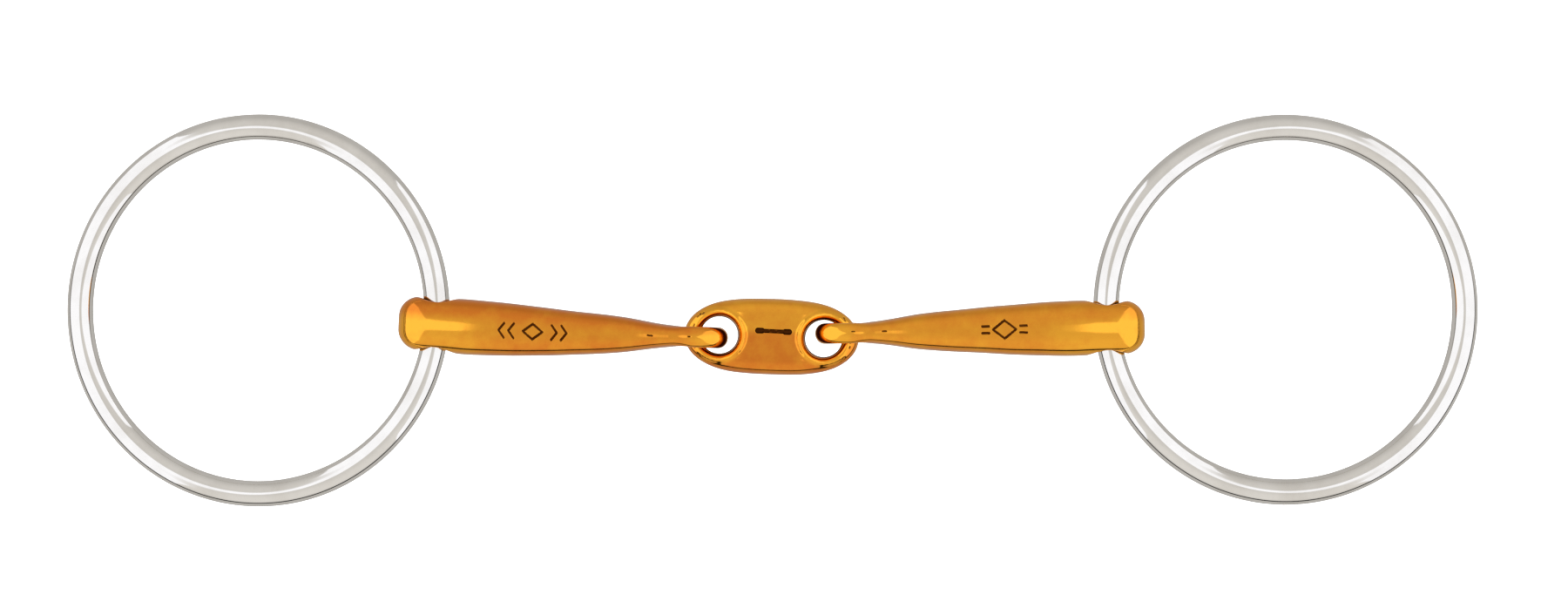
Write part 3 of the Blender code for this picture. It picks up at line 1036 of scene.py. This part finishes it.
    def surround(self) -> None:
        """The room round the bit: warm grey, with a thin dark gap at the horizon in front."""
        world = bpy.data.worlds.new("surround")
        bpy.context.scene.world = world
        world.use_nodes = True
        tree = world.node_tree
        tree.nodes.clear()
        way = add_node(tree, "ShaderNodeTexCoord").outputs["Generated"]
        split = add_node(tree, "ShaderNodeSeparateXYZ", Vector=way)
        polar = add_node(tree, "ShaderNodeMath", {"operation": "ARCCOSINE"}, i0=split.outputs[2])
        share = add_node(tree, "ShaderNodeMath", {"operation": "DIVIDE"}, i0=polar.outputs[0], i1=pi)
        front = self.ramp(tree, share.outputs[0], FRONT_SKY)
        back = self.ramp(tree, share.outputs[0], BACK_SKY)
        side = add_node(tree, "ShaderNodeMapRange", {"interpolation_type": "SMOOTHSTEP"},
                        Value=split.outputs[1], i1=self.front_to_back[0], i2=self.front_to_back[1])
        sky = add_node(tree, "ShaderNodeMix", {"data_type": "RGBA"}, i0=side.outputs[0], i6=front.outputs[0],
                       i7=back.outputs[0])
        shade = add_node(tree, "ShaderNodeBackground", Color=sky.outputs[2], Strength=1.0)
        add_node(tree, "ShaderNodeOutputWorld", Surface=shade.outputs[0])

    def ramp(self, tree: bpy.types.NodeTree, value: bpy.types.NodeSocket, stops: tuple) -> bpy.types.Node:
        """A colour ramp from straight up to straight down.

        Args:
            tree: the node tree.
            value: how far down each direction points, from 0 to 1.
            stops: the (degrees from straight up, brightness) pairs.

        Returns:
            The ramp's node.
        """
        node = add_node(tree, "ShaderNodeValToRGB", Fac=value)
        ramp = node.color_ramp
        ramp.interpolation = "LINEAR"
        while len(ramp.elements) < len(stops):
            ramp.elements.new(0.5)
        for element, (degrees, bright) in zip(ramp.elements, stops):
            element.position = degrees / 180
            element.color = (*(bright * share for share in self.sky_tint), 1.0)
        return node

    def build(self) -> None:
        """Sets up the whole studio."""
        self.surround()
        self.floor()
        self.softboxes()
        self.cloths()
        self.overhead()
        self.camera()
        bpy.context.scene.view_settings.view_transform = "Standard"


# --------------------------------------------------------------------------------------------------
# Marks
# --------------------------------------------------------------------------------------------------


def chevron(at: float, across: float, points: float, reach: float = 1.1,
            height: float = 1.5) -> tuple[Stroke, ...]:
    """An engraved arrowhead: two strokes that meet at its point.

    Args:
        at: how far along the arm its point is.
        across: how far across the arm its middle is.
        points: which way it points, -1 towards the eye or 1 towards the bore.
        reach: how long it is.
        height: half its height.

    Returns:
        Its two strokes.
    """
    tip = (at, across)
    return tuple(Stroke((at - points * reach, across + way * height), tip) for way in (-1, 1))


def lozenge(at: float, across: float, half: float) -> tuple[Stroke, ...]:
    """An engraved diamond outline of four strokes.

    Args:
        at: how far along the arm its middle is.
        across: how far across the arm its middle is.
        half: half its height.

    Returns:
        Its four strokes.
    """
    reach = half * 1.25
    corners = [(at + reach, across), (at, across + half), (at - reach, across), (at, across - half)]
    return tuple(Stroke(a, b) for a, b in zip(corners, corners[1:] + corners[:1]))


def main() -> None:
    """Builds every piece and the studio."""
    logging.basicConfig(level=logging.INFO, format="%(message)s")
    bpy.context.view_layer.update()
    copper = CopperAlloy().material()
    steel = StainlessWire().material()
    left_mark = (
        *lozenge(33.0, -0.6, 1.6),
        *chevron(28.0, -0.6, -1),
        *chevron(26.0, -0.6, -1),
        *chevron(38.0, -0.6, 1),
        *chevron(40.0, -0.6, 1),
    )
    right_mark = (
        *lozenge(31.8, 0.1, 1.9),
        Stroke((27.2, 0.8), (28.6, 0.8)),
        Stroke((27.2, -0.6), (28.6, -0.6)),
        Stroke((35.0, 0.8), (36.4, 0.8)),
        Stroke((35.0, -0.6), (36.4, -0.6)),
    )
    left_pits = (Stroke((8.3, -0.2), (9.3, -0.15), 0.35, 0.2), Stroke((0.5, 0.0), (0.9, 0.0), 0.3, 0.15))
    right_pits = (Stroke((6.6, 0.25), (7.4, 0.25), 0.32, 0.2), Stroke((0.3, 0.35), (0.9, 0.35), 0.32, 0.15))
    Arm("left_arm", copper, side="left", bow=0.5, marks=left_mark, pits=left_pits, seed=11).build()
    Arm("right_arm", copper, side="right", marks=right_mark, pits=right_pits, seed=12, film_and_shade_above=0.5,
        film_middle=0.35, film_and_shade_below=0.5).build()
    Link("centre_link", copper, seed=13).build()
    Ring("left_ring", steel, weld_at=radians(94), seed=21).build()
    Ring("right_ring", steel, weld_at=radians(70), seed=22).build()
    Studio().build()


if __name__ == "__main__":
    main()
